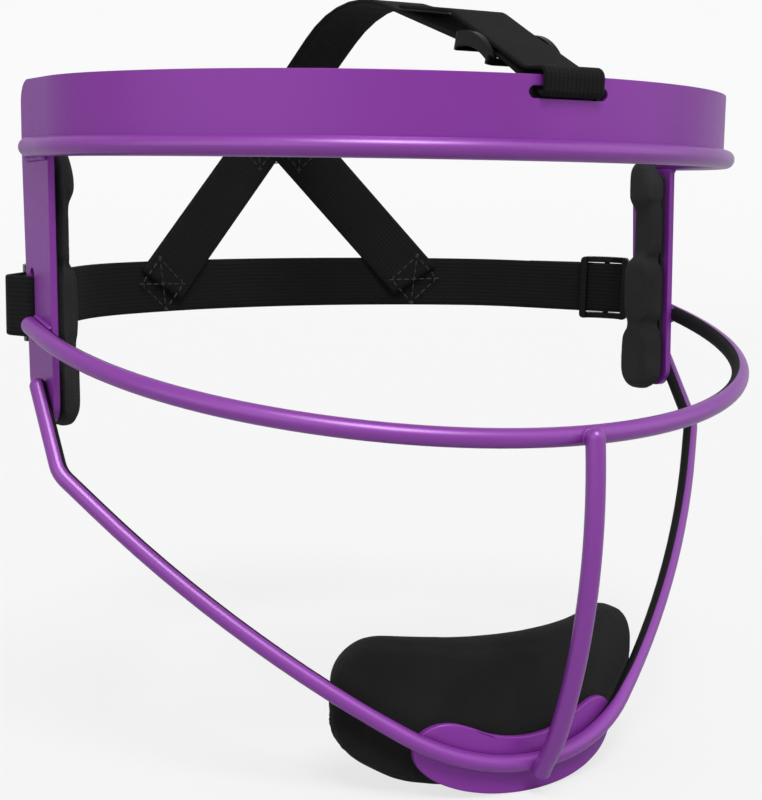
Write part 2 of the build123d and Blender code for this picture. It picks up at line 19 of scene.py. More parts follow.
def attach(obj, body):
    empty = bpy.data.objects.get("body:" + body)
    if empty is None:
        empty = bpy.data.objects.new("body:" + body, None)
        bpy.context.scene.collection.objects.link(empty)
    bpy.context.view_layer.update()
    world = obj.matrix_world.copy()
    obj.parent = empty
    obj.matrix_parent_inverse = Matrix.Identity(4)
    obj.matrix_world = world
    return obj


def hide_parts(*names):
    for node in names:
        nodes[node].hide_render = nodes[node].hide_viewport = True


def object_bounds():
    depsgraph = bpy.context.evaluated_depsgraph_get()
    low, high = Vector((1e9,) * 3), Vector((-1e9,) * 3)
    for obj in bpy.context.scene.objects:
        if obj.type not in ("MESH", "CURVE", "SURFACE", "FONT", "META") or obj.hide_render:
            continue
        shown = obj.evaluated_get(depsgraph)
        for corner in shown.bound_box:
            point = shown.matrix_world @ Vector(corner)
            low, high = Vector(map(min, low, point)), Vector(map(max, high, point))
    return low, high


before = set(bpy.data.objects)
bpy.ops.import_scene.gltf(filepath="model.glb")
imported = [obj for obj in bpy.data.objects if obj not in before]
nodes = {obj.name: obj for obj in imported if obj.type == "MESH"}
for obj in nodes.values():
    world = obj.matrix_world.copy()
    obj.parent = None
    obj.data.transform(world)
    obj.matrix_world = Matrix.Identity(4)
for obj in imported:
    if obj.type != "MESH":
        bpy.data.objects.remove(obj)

cad_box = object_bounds()
scene = bpy.context.scene
MM = 0.001
print("pieces in the frame:", len(nodes))
print("size in mm:", [round(v / MM, 1) for v in cad_box[1] - cad_box[0]])

# %% [markdown]
# ## Camera
# A photograph's perspective can be solved from an object that is its own mirror image: each pair of
# left and right points gives one more condition. That gives a camera a third of a metre in front of
# the guard, to the wearer's right, and looking down by less than seven degrees.

# %% Place the camera
azimuth, pitch = math.radians(-28.51), math.radians(6.67)
camera = bpy.data.objects.new("camera", bpy.data.cameras.new("camera"))
scene.collection.objects.link(camera)
camera.location = (-0.1814, -0.3259, -0.0175)
forward = Vector((
    -math.sin(azimuth) * math.cos(pitch), math.cos(azimuth) * math.cos(pitch), -math.sin(pitch)
))
camera.rotation_mode = "QUATERNION"
camera.rotation_quaternion = forward.to_track_quat("-Z", "Y")
camera.data.sensor_width, camera.data.lens = 36.0, 66.8
camera.data.clip_start = 0.01
scene.camera = camera
print("camera distance from the origin:", round(camera.location.length, 3), "m")

# %% [markdown]
# ## Recipes of nodes
# The world, the floor, each finish and the rows of stitches are all trees of nodes. Built by hand, each
# node takes a line to add, one for each value and one for each wire. The class below does all three in
# one call, so that a tree reads like a recipe. An input is named with _ for each space, or by its number
# after a _ where several inputs share a name. A finish is such a tree round one Principled shader.


# %% Define the recipe
class Recipe:
    """A tree of nodes, with short ways to add nodes, set their values and wire them."""

    def __init__(self, tree, prefix="ShaderNode"):
        self.tree, self.prefix = tree, prefix
        tree.nodes.clear()

    def wire(self, node, **inputs):
        """Gives a node's inputs their values, or the sockets that they come from."""
        for key, value in inputs.items():
            socket = node.inputs[int(key[1:]) if key[0] == "_" else key.replace("_", " ")]
            if isinstance(value, bpy.types.NodeSocket):
                self.tree.links.new(value, socket)
            else:
                socket.default_value = value

    def add(self, kind, settings=None, **inputs):
        node = self.tree.nodes.new(self.prefix + kind)
        for key, value in (settings or {}).items():
            setattr(node, key, value)
        self.wire(node, **inputs)
        return node

    def blend(self, share, low, high):
        """A colour between two."""
        return self.add("Mix", {"data_type": "RGBA"}, Factor=share, _6=low, _7=high).outputs[2]

    def calc(self, operation, first, second=0.0):
        return self.add("Math", {"operation": operation}, _0=first, _1=second).outputs[0]

    def remap(self, value, low, high, start=0.0, end=1.0):
        """A value that runs from low to high while the given one runs from start to end."""
        ends = {"From_Min": start, "From_Max": end, "To_Min": low, "To_Max": high}
        return self.add("MapRange", Value=value, **ends).outputs[0]

    def bump(self, height, strength, depth, under=None, **settings):
        """Normals bumped by a pattern of some depth in millimetres, over the normals under it."""
        base = {} if under is None else {"Normal": under}
        node = self.add("Bump", settings, Height=height, Strength=strength, Distance=depth * MM, **base)
        return node.outputs[0]


class Finish(Recipe):
    """A material round one Principled shader, whose even values are given by name."""

    def __init__(self, name, **values):
        self.material = bpy.data.materials.new(name)
        self.material.use_nodes = True
        super().__init__(self.material.node_tree)
        self.shader = self.add("BsdfPrincipled", **values)
        self.add("OutputMaterial", Surface=self.shader.outputs[0])
        self.place = self.add("TexCoord").outputs["Object"]

    def join(self, **sockets):
        """Wires the shader's own inputs."""
        self.wire(self.shader, **sockets)

    def noise(self, scale, detail, place=None, **values):
        place = self.place if place is None else place
        return self.add("TexNoise", Vector=place, Scale=scale, Detail=detail, **values).outputs["Fac"]


def linear(red, green, blue):
    """A colour written as 0 to 255 on a screen, as the linear values that shaders work in."""
    values = [c / 255 for c in (red, green, blue)]
    return tuple(c / 12.92 if c <= 0.04045 else ((c + 0.055) / 1.055) ** 2.4 for c in values) + (1,)


def grey(shade, blue=1):
    """A dark grey, which is a little blue in most black things."""
    return linear(shade, shade, shade + blue)


def seen(recipe):
    """A value of 1 for what the camera sees, also through something clear, and 0 for light that bounces."""
    path = recipe.add("LightPath").outputs
    return recipe.calc("MAXIMUM", path["Is Camera Ray"], path["Is Transmission Ray"])


print("a purple in linear values:", [round(c, 3) for c in linear(138, 54, 162)])

# %% [markdown]
# ## Light
# A studio packshot has one broad soft light above and in front, a weaker one at each side, and white all
# round. Sun lamps with wide angles do the first and light the floor evenly, which an area lamp near the
# object doesn't. The world looks white to the camera alone, and adds a lower level of fill.

# %% Set the world and the lamps
scene.view_settings.view_transform = "Standard"
white, backdrop_level, fill_level = (1, 1, 1, 1), 0.90, 0.46

world = bpy.data.worlds.new("studio")
scene.world = world
world.use_nodes = True
studio = Recipe(world.node_tree)
fill = studio.add("Background", Color=white, Strength=fill_level)
backdrop = studio.add("Background", Color=white, Strength=backdrop_level)
sky = studio.add("MixShader", _0=seen(studio), _1=fill.outputs[0], _2=backdrop.outputs[0])
studio.add("OutputWorld", Surface=sky.outputs[0])


def soft_sun(name, strength, spread, compass, height):
    """A sun lamp from a compass direction (0 is the front, -90 the wearer's right) and a height, in degrees."""
    lamp = bpy.data.objects.new(name, bpy.data.lights.new(name, "SUN"))
    scene.collection.objects.link(lamp)
    lamp.data.energy, lamp.data.angle = strength, math.radians(spread)
    a, h = math.radians(compass), math.radians(height)
    source = Vector((math.sin(a) * math.cos(h), -math.cos(a) * math.cos(h), math.sin(h)))
    lamp.rotation_mode = "QUATERNION"
    lamp.rotation_quaternion = source.to_track_quat("Z", "Y")


soft_sun("key", 2.3, 26, -14, 56)
soft_sun("left_side", 0.7, 60, -66, 12)
soft_sun("right_side", 0.45, 60, 52, 22)

# %% [markdown]
# ## Floor
# The floor is one sheet that curves up behind the object, so that no horizon shows. Diffuse white takes
# the object's shadow. What the camera sees of it is evened out by mixing in a plain white glow. The light
# that it throws back on the object is less than white paper's, or the undersides would look washed out.

# %% Make the floor sweep
floor_z = cad_box[0].z
half_width, front_end, depth, rise, top_end = 4.0, -4.0, 1.6, 1.6, 6.0
turns = [i * math.pi / 32 for i in range(1, 17)]
profile = [(front_end, 0.0), (depth, 0.0)]
profile += [(depth + rise * math.sin(t), rise - rise * math.cos(t)) for t in turns]
profile.append((depth + rise, top_end))


def new_object(name, mesh):
    """An object in the scene that shows a mesh."""
    piece = bpy.data.objects.new(name, mesh)
    scene.collection.objects.link(piece)
    return piece


def new_piece(name, verts, faces):
    """A new mesh from points and faces, as an object in the scene."""
    mesh = bpy.data.meshes.new(name)
    mesh.from_pydata(verts, [], faces)
    return new_object(name, mesh)


verts = [(x, y, z + floor_z) for y, z in profile for x in (-half_width, half_width)]
faces = [(2 * i, 2 * i + 1, 2 * i + 3, 2 * i + 2) for i in range(len(profile) - 1)]
floor = new_piece("floor_sweep", verts, faces)
floor.data.transform(Matrix.Rotation(azimuth, 4, "Z"))
floor.data.shade_smooth()

paper_white, paper_bounce, glow_share = (0.86, 0.86, 0.87, 1), (0.42, 0.42, 0.43, 1), 0.80
paper = bpy.data.materials.new("studio_paper")
paper.use_nodes = True
sheet = Recipe(paper.node_tree)
by_camera = sheet.add("LightPath").outputs["Is Camera Ray"]
matte = sheet.add("BsdfDiffuse", Color=sheet.blend(by_camera, paper_bounce, paper_white))
glow = sheet.add("Emission", Color=white, Strength=backdrop_level)
share = sheet.calc("MULTIPLY", seen(sheet), glow_share)
surface = sheet.add("MixShader", _0=share, _1=matte.outputs[0], _2=glow.outputs[0])
sheet.add("OutputMaterial", Surface=surface.outputs[0])
floor.data.materials.append(paper)
print("floor at", round(floor_z / MM, 1), "mm")

# %% [markdown]
# ## Powder coat
# Powder coat is a thick baked skin. It has a faint orange-peel ripple, a soft wide highlight, and it
# rounds the edges of the sheet under it. Two scales of noise make the ripple and a slight drift in the
# colour. The Bevel node bends the normals near each edge, as the coat does. Sheet has less gloss than
# wire, whose highlights run along it.
# The wires in front of the face are blacked out on the side that faces the wearer, against glare. The
# mask weighs the surface's normal: sideways towards the middle of the face along the flanks, and straight
# back at the nose, where sideways has no meaning.

# %% Mix the powder coat
purple, deep_purple, blackout = linear(138, 54, 162), linear(130, 47, 154), linear(9, 8, 10)
sheet_gloss, wire_gloss, black_roughness = 0.25, 0.9, 0.7
nose_reach, mask_edge = 0.035, 0.04


def wearer_side(coat, threshold):
    """A mask of 1 where a wire's surface faces the wearer by more than the threshold."""
    normal = coat.add("SeparateXYZ", Vector=coat.add("NewGeometry").outputs["Normal"]).outputs
    across = coat.add("SeparateXYZ", Vector=coat.place).outputs["X"]
    flank = coat.remap(across, -1.0, 1.0, -nose_reach, nose_reach)
    nose = coat.calc("SUBTRACT", 1.0, coat.calc("ABSOLUTE", flank))
    back = coat.calc("MULTIPLY", nose, normal["Y"])
    facing = coat.calc("SUBTRACT", back, coat.calc("MULTIPLY", flank, normal["X"]))
    return coat.remap(facing, 0.0, 1.0, threshold - mask_edge, threshold + mask_edge)


def powder_coat(name, gloss, blackened=None):
    """Purple coat of some gloss, matte black where the surface faces the wearer by more than blackened."""
    coat = Finish(name, Metallic=0.25, Specular_IOR_Level=0.35, Coat_Weight=gloss, Coat_Roughness=0.32)
    peel = coat.noise(620.0, 1.5, Roughness=0.4)
    soft_edges = coat.add("Bevel", {"samples": 4}, Radius=0.35 * MM).outputs[0]
    ripple = coat.bump(peel, 0.16, 0.12, soft_edges)
    skin = coat.bump(coat.noise(2600.0, 2.0), 0.12, 0.04, ripple)
    colour = coat.blend(coat.noise(22.0, 2.0), deep_purple, purple)
    rough = coat.remap(peel, 0.38, 0.46)
    if blackened is not None:
        mask = wearer_side(coat, blackened)
        colour = coat.blend(mask, colour, blackout)
        blend = coat.add("Mix", {"data_type": "FLOAT"}, Factor=mask, _2=rough, _3=black_roughness)
        rough = blend.outputs[0]
        coat.join(Coat_Weight=coat.remap(mask, gloss, 0.0))
    coat.join(Base_Color=colour, Roughness=rough, Normal=skin)
    return coat.material


def dress(names, material):
    """Puts one finish on carried-over pieces of the frame."""
    for name in names:
        nodes[name].data.materials.clear()
        nodes[name].data.materials.append(material)


coat = powder_coat("powder_coat", sheet_gloss)
dress(["brow_band", "left_temple_post", "right_temple_post"], coat)
dress(["brow_rail"], powder_coat("brow_rail_coat", wire_gloss))
dress(["eye_bar"], powder_coat("eye_bar_coat", wire_gloss, blackened=0.17))
dress(["jaw_bar"], powder_coat("jaw_bar_coat", wire_gloss, blackened=0.30))
centre_coat = powder_coat("centre_bar_coat", wire_gloss, blackened=0.45)
print("coats:", [m.name for m in bpy.data.materials if m.name.endswith("coat")])

# %% [markdown]
# ## New pieces
# Bmesh is Blender's editor for a mesh in a script, and the second helper opens and closes it.


# %% Define the helpers for pieces
def wear(piece, material, node=None, body="guard"):
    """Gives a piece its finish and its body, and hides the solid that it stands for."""
    piece.data.materials.clear()
    piece.data.materials.append(material)
    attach(piece, body)
    if node:
        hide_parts(node)


@contextmanager
def editing(mesh):
    """The mesh as a bmesh, which is written back at the end."""
    work = bmesh.new()
    work.from_mesh(mesh)
    yield work
    work.to_mesh(mesh)
    work.free()


def clamp(value):
    return max(0.0, min(1.0, value))


# %% [markdown]
# ## Chin plate
# The plate behind the wire's nose is pressed from sheet: a curved shell with a low saddle in its top edge
# and two soft shoulders. Its outline is drawn flat, as the press tool's is, smoothed through its points,
# filled with rings of faces that shrink to the middle, and wrapped on the shell's two faces. An offset
# bevel then rounds the rim, which a bevel in the shader couldn't do for the outline.


# %% Press the chin plate
def smooth_loop(points, parts):
    """A closed smooth line through points, with each span cut into parts."""
    n, line = len(points), []
    for i in range(n):
        a, b, c, d = (points[(i + k) % n] for k in (-1, 0, 1, 2))
        for j in range(parts):
            t = j / parts
            line.append(
                b + (c - a) * (t / 2) + (a * 2 - b * 5 + c * 4 - d) * (t * t / 2)
                + (b * 3 - a - c * 3 + d) * (t ** 3 / 2)
            )
    return line


sheet_thickness, rim_radius = 1.5, 0.3
plate_level, plate_centre_y = -135.03, -34.41
plate_wrap, plate_depth = 42.25, 27.31
half_outline = [
    (5.0, 5.7), (10.0, 6.9), (14.5, 8.8), (18.5, 10.0), (22.3, 9.6), (25.2, 7.6), (26.4, 4.4),
    (25.7, 0.8), (22.6, -2.5), (17.5, -4.9), (11.5, -6.4), (5.5, -7.1),
]
outline = [Vector((0, 5.3))] + [Vector(p) for p in half_outline] + [Vector((0, -7.3))]
outline += [Vector((-x, z)) for x, z in reversed(half_outline)]
edge = smooth_loop(outline, 6)
rings, heart = 12, Vector((0, -0.5))
verts, faces = [], []
for inset in (0.0, sheet_thickness):
    for ring in range(rings):
        for p in edge:
            x, z = heart + (p - heart) * (1 - ring / rings)
            y = plate_centre_y - (plate_depth - inset) * math.sqrt(1 - (x / (plate_wrap - inset)) ** 2)
            verts.append(Vector((x, y, z + plate_level)) * MM)
    verts.append(Vector((heart.x, plate_centre_y - plate_depth + inset, heart.y + plate_level)) * MM)
n, side = len(edge), len(verts) // 2
last = (rings - 1) * n
for i in range(n):
    k = (i + 1) % n
    for ring in range(rings - 1):
        a, b, c, d = ring * n + i, ring * n + k, (ring + 1) * n + k, (ring + 1) * n + i
        faces += [(a, b, c, d), (side + d, side + c, side + b, side + a)]
    faces += [(last + i, last + k, side - 1), (side + last + k, side + last + i, 2 * side - 1)]
    faces.append((k, i, side + i, side + k))
plate = new_piece("chin_plate_sheet", verts, faces)
with editing(plate.data) as work:
    bmesh.ops.recalc_face_normals(work, faces=work.faces)
    rim = [e for e in work.edges if e.calc_face_angle(0) > 1.0]
    bmesh.ops.bevel(work, geom=rim, offset=rim_radius * MM, segments=3, profile=0.5, affect="EDGES")
plate.data.shade_smooth()
wear(plate, coat, "chin_plate")
print("chin plate faces:", len(plate.data.polygons))

# %% [markdown]
# ## Centre bar
# The bar's foot is ground off level with the jaw bar's underside. A copy of the solid bar has its last
# few millimetres drawn up along it, which keeps the rounded end's shape.

# %% Shorten the centre bar's foot
foot_cut, end_length, fade_length, bar_lean = 2.3, 2.6, 9.0, 0.10
bar = new_object("centre_bar_wire", nodes["centre_bar"].data.copy())
foot_z = min(v.co.z for v in bar.data.vertices) / MM
for v in bar.data.vertices:
    share = clamp((foot_z + end_length + fade_length - v.co.z / MM) / fade_length)
    v.co.z += foot_cut * share * MM
    v.co.y -= foot_cut * share * bar_lean * MM
wear(bar, centre_coat, "centre_bar")
print("centre bar's foot raised by", foot_cut, "mm")

# %% [markdown]
# ## Elastic webbing
# Elastic is woven flat: cords of rubber run lengthwise and make fine ribs, and the weft crosses them.
# Both follow the strip wherever it bends, so the pattern reads the piece's own UV map, which is in
# metres along and across the strip. Two waves make the height, and a soft sheen shows the fibres.


# %% Weave the webbing finish
def webbing_finish(name, shade):
    cloth = Finish(name, Roughness=0.9, Specular_IOR_Level=0.12, Sheen_Weight=0.02, Sheen_Roughness=0.5)
    strip = cloth.add("UVMap", {"uv_map": "strip"}).outputs[0]
    ribs = cloth.add(
        "TexWave", {"bands_direction": "Y", "wave_profile": "SIN"}, Vector=strip, Scale=300.0
    ).outputs["Fac"]
    weft = cloth.add(
        "TexWave", {"bands_direction": "X", "wave_profile": "SIN"},
        Vector=strip, Scale=470.0, Distortion=0.6, Detail=1.0,
    ).outputs["Fac"]
    fibres = cloth.noise(5200.0, 3.0, strip)
    height = cloth.calc("ADD", cloth.calc("ADD", cloth.calc("MULTIPLY", weft, 0.6), ribs), fibres)
    tone = cloth.calc("MULTIPLY", ribs, cloth.noise(90.0, 3.0))
    cloth.join(
        Normal=cloth.bump(height, 0.55, 0.10),
        Base_Color=cloth.blend(tone, grey(shade - 5, 0), grey(shade + 7)),
    )
    return cloth.material


elastic = webbing_finish("ribbed_elastic", 22)
print("webbing finish:", elastic.name)

# %% [markdown]
# ## Routes
# The straps' routes are written like a pattern maker's drawing, in millimetres: arcs, and straight runs
# whose corners are rounded. They are the routes of the solid straps that the strips replace.


# %% Define the helpers for routes
def arc_pair(half_span, reach, first, both):
    """Radii of two arcs, tangent to each other, that make half of a hoop. They turn to first, then to both."""
    s1, s2 = math.sin(math.radians(first)), math.sin(math.radians(both))
    c1, c2 = math.cos(math.radians(first)), math.cos(math.radians(both))
    scale = s1 * (c1 - c2) - (s2 - s1) * (1 - c1)
    return (
        (half_span * (c1 - c2) - reach * (s2 - s1)) / scale,
        (reach * s1 - half_span * (1 - c1)) / scale,
    )


def arc_run(start, heading, radius, turn, steps):
    """Points along an arc that turns clockwise from a heading, all in degrees."""
    h = math.radians(heading)
    centre = start + radius * Vector((math.sin(h), -math.cos(h)))
    angles = [h - math.radians(turn) * i / steps for i in range(steps + 1)]
    return [centre + radius * Vector((-math.sin(a), math.cos(a))) for a in angles]


def rounded_run(corners, radii):
    """Points along straight runs whose corners are rounded, each by its own radius."""
    points = [corners[0]]
    for before, corner, after, radius in zip(corners, corners[1:], corners[2:], radii):
        back, on = (before - corner).normalized(), (after - corner).normalized()
        turn = math.pi - back.angle(on)
        reach = radius * math.tan(turn / 2)
        middle = corner + (back + on).normalized() * (radius / math.cos(turn / 2))
        first, last = corner + back * reach - middle, corner + on * reach - middle
        steps = max(4, round(math.degrees(turn) / 7))
        for i in range(steps + 1):
            points.append(middle + first.slerp(last, i / steps).normalized() * radius)
    return points + [corners[-1]]


def resampled(points, step=0.9):
    """The same route with a point about every step, kept at its corners' places."""
    route = [points[0]]
    for a, b in zip(points, points[1:]):
        parts = max(1, round((b - a).length / step))
        route += [a.lerp(b, i / parts) for i in range(1, parts + 1) if (b - a).length > 1e-6]
    return route


print("a quarter turn of radius 10 in 3 steps:", len(arc_run(Vector((0, 0)), 0.0, 10.0, 90.0, 3)), "points")

# %% [markdown]
# ## Strips
# A strap keeps its width square to its own plane while it bends round the head, so it can be swept with
# simple mesh code: a row of section points at each station along the route. The section is a flat strip
# with rolled edges. A curve with a bevel would turn the strip at its tight folds, and this doesn't.


# %% Define the helper for strips
webbing_thickness = 1.0
half_webbing = webbing_thickness / 2


def webbing_strip(name, route, across, width):
    """A strip with rolled edges swept along a route in millimetres, with a UV map in metres."""
    r, flat = half_webbing, width / 2 - half_webbing
    edge = (math.pi / 4, 0, -math.pi / 4)
    section = [(-flat + 2 * flat * i / 10, r) for i in range(11)]
    section += [(flat + r * math.cos(a), r * math.sin(a)) for a in edge]
    section += [(flat - 2 * flat * i / 10, -r) for i in range(11)]
    section += [(-flat - r * math.cos(a), r * math.sin(a)) for a in reversed(edge)]
    n = len(section)
    lengths = [0.0]
    for a, b in zip(route, route[1:]):
        lengths.append(lengths[-1] + (b - a).length)
    verts, faces, uvs = [], [], []
    for i, point in enumerate(route):
        tangent = (route[min(i + 1, len(route) - 1)] - route[max(i - 1, 0)]).normalized()
        lift = tangent.cross(across).normalized()
        verts += [(point + across * c + lift * h) * MM for c, h in section]
    for i in range(len(route) - 1):
        for j in range(n):
            k = (j + 1) % n
            faces.append((i * n + j, (i + 1) * n + j, (i + 1) * n + k, i * n + k))
            v0, v1 = section[j][0], section[k][0]
            uvs += [(lengths[i], v0), (lengths[i + 1], v0), (lengths[i + 1], v1), (lengths[i], v1)]
    last = (len(route) - 1) * n
    faces += [tuple(range(n)), tuple(last + j for j in reversed(range(n)))]
    uvs += [(0.0, c) for c, h in section] + [(lengths[-1], c) for c, h in reversed(section)]
    piece = new_piece(name, verts, faces)
    layer = piece.data.uv_layers.new(name="strip")
    layer.data.foreach_set("uv", [c * MM for uv in uvs for c in uv])
    piece.data.shade_smooth()
    with editing(piece.data) as work:
        bmesh.ops.recalc_face_normals(work, faces=work.faces)
    return piece


def free_tail(head, along, lift, pin, reach):
    """The outer layer beyond the slider's pin: level, up to a knee and down to the strap."""
    knee, end = (pin + reach * 0.4, return_height + 1.8), (pin + reach, 1.3)
    return [head + along * a + lift * h for a, h in ((pin + 4.0, return_height), knee, end)]


pin_radius, pin_gap = 0.8, 0.25
return_height = half_webbing + 2 * pin_gap + 2 * pin_radius + half_webbing
print("the outer layer runs", round(return_height, 2), "mm above the inner one")

# %% [markdown]
# ## Rear strap
# It runs round the back of the head. At each upright it slips inside, comes out through the slot, loops
# back over the slider's pin and ends in a free tail on the outside. The drawing below starts at the
# middle of the nape and is mirrored.

# %% Sweep the rear strap
post_span, toe = 173.0, math.radians(3.0)
post_face, layer = post_span / 2 + sheet_thickness, half_webbing + 0.15
strap_back, strap_width = 68.3, 14.0
strap_level, strap_drop, strap_tilt = 20.9, 35.5, math.radians(2.3)


def beside_post(setback, offset, level=0.0):
    """A point in plan beside the left post, from its setback and its offset from the outer face."""
    return Vector((
        post_face + setback * math.sin(toe) + offset * math.cos(toe),
        setback * math.cos(toe) - offset * math.sin(toe) - level,
    ))


def on_strap(flat, height=0.0):
    """A point of the strap's tilted plane, and some height across it, in the guard's frame."""
    return Vector((
        flat.x, strap_level + flat.y * math.cos(strap_tilt) - height * math.sin(strap_tilt),
        flat.y * math.sin(strap_tilt) + height * math.cos(strap_tilt) - strap_drop,
    ))


run, run_length, slot_setback = math.radians(39.0), 34.0, 12.55
along_run, run_lift = Vector((-math.sin(run), math.cos(run))), Vector((math.cos(run), math.sin(run)))
head = beside_post(18.9, 0.2, strap_level)
run_end = head + along_run * run_length
nape_turn, both_turns = 24.0, 51.0
nape, flank = arc_pair(run_end.x, strap_back - strap_level - run_end.y, nape_turn, both_turns)
half_route = arc_run(Vector((0, strap_back - strap_level)), 0.0, nape, nape_turn, 20)
half_route += arc_run(half_route[-1], -nape_turn, flank, both_turns - nape_turn, 20)[1:]
inside = -sheet_thickness - layer
through_post = [
    beside_post(setback, offset, strap_level)
    for setback, offset in ((17.4, inside), (slot_setback, inside), (slot_setback, layer), (19.2, 4.3))
]
corners = [half_route[-1], head, *through_post, *free_tail(head, along_run, run_lift, 8.3, 23.5)]
half_route += rounded_run(corners, [1.5, 0.9, 0.9, 0.9, 2.5, 4.0, 8.0])[1:]
flat_route = [Vector((-p.x, p.y)) for p in reversed(half_route[1:])] + half_route
strap_route = [on_strap(p) for p in resampled(flat_route)]
strap_across = Vector((0, -math.sin(strap_tilt), math.cos(strap_tilt)))
rear_strap = webbing_strip("rear_strap_webbing", strap_route, strap_across, strap_width)
wear(rear_strap, elastic, "rear_strap")
print("rear strap length in mm:", round(sum((b - a).length for a, b in zip(strap_route, strap_route[1:]))))

# %% [markdown]
# ## Crown strap
# It is sewn to the two legs behind the head, crosses the crown, drops through the slot in the brow band,
# comes up over the band's top edge and goes back through its slider. Its tail lies on top.

# %% Sweep the crown strap
brow, band_front, tab_back, crown_width = math.radians(1.7), -72.8, 73.1, 15.0
turn, peak = Vector((15.2 + band_front, 19.6)), Vector((16.8, 42.0))
crown_run = (peak - turn).normalized()
crown_lift = Vector((-crown_run.y, crown_run.x))
slot_point = Vector((sheet_thickness / 2 + band_front, 11.7))
into_slot = (slot_point - turn).normalized()
out_of_slot = slot_point + into_slot * ((sheet_thickness / 2 + 1.1) / -into_slot.x)
corners = [
    Vector((tab_back, -1.0)), Vector((tab_back, 10.0)), peak, turn, out_of_slot,
    Vector((band_front - 1.5, 16.6)), Vector((-66.5, 16.9)), turn + crown_lift * 1.3,
    *free_tail(turn, crown_run, crown_lift, 8.6, 38.0),
]
flat_route = rounded_run(corners, [9.0, 55.0, 6.0, 0.9, 2.0, 8.0, 8.0, 4.0, 8.0])
crown_route = [
    Vector((0, p.x * math.cos(brow) - p.y * math.sin(brow), p.x * math.sin(brow) + p.y * math.cos(brow)))
    for p in resampled(flat_route)
]
crown_strap = webbing_strip("crown_strap_webbing", crown_route, Vector((1, 0, 0)), crown_width)
wear(crown_strap, elastic, "crown_strap")
print("crown strap stations:", len(crown_route))

# %% [markdown]
# ## Crown legs
# Two straight strips make a V from the crown strap's tab down to the rear strap, where they are sewn on
# inside it. Their feet are cut on a slant. The tops are cut where the two meet. It is quickest to make
# each strip too long and let two planes cut it.

# %% Sweep the crown legs
leg_spread, under = 40.0, webbing_thickness + 0.35
slant_cut, slant_fade = 2.6, 20.0
nape_angle = math.asin(leg_spread / nape)
foot = Vector((leg_spread, strap_back - nape * (1 - math.cos(nape_angle)) - under, -33.5))
top = Vector((0, tab_back - under, 12.5))
leg_rise = (top - foot).normalized()
leg_across = leg_rise.cross(Vector((0, 0, 1))).cross(leg_rise).normalized()
leg_end = (top - foot).length + 2.0
for mirror, label in ((1, "left"), (-1, "right")):
    route = [foot + leg_rise * (leg_end * i / 48 * 1.2) for i in range(49)]
    leg = webbing_strip(label + "_crown_leg_webbing", route, leg_across, crown_width)
    for v in leg.data.vertices:
        slant = (v.co / MM - foot).dot(leg_across) / crown_width
        fade = max(0.0, 1 - ((v.co / MM - foot).dot(leg_rise)) / slant_fade)
        v.co -= leg_rise * (slant_cut * slant * MM) * fade
    middle_cut = (Vector((0.1 * MM, 0, 0)), Vector((-1, 0, 0)))
    top_cut = (top * MM + leg_rise * 2.0 * MM, leg_rise)
    with editing(leg.data) as work:
        for spot, normal in (middle_cut, top_cut):
            bmesh.ops.bisect_plane(
                work, geom=work.verts[:] + work.edges[:] + work.faces[:],
                plane_co=spot, plane_no=normal, clear_outer=True,
            )
            bmesh.ops.holes_fill(work, edges=[e for e in work.edges if e.is_boundary], sides=0)
        if mirror < 0:
            bmesh.ops.scale(work, vec=Vector((-1, 1, 1)), verts=work.verts)
        bmesh.ops.recalc_face_normals(work, faces=work.faces)
    wear(leg, elastic, label + "_crown_leg")
print("legs from", [round(c, 1) for c in foot], "to", [round(c, 1) for c in top])

# %% [markdown]
# ## Foam pads
# Moulded foam with a cloth face is stiff, with full rounded edges and a slightly crowned face. The
# recipe is the one for cushions: take the solid, remesh it into even quads, let a cloth simulation with
# pressure fill it, and keep the result. The pads are small, so they are simulated at ten times their
# size, where the cloth solver's usual values hold, and the skin starts a little inside the solid and may
# swell only back to it. So the pads stay clear of the steel behind them.
# Before that, two helpers shape the skin at ten times its size, where a unit is a hundred millimetres.

# %% Shape the temple pads' flanks
UP = 10
to_mm, from_mm = 100, 0.01
tape_thickness = 1.0


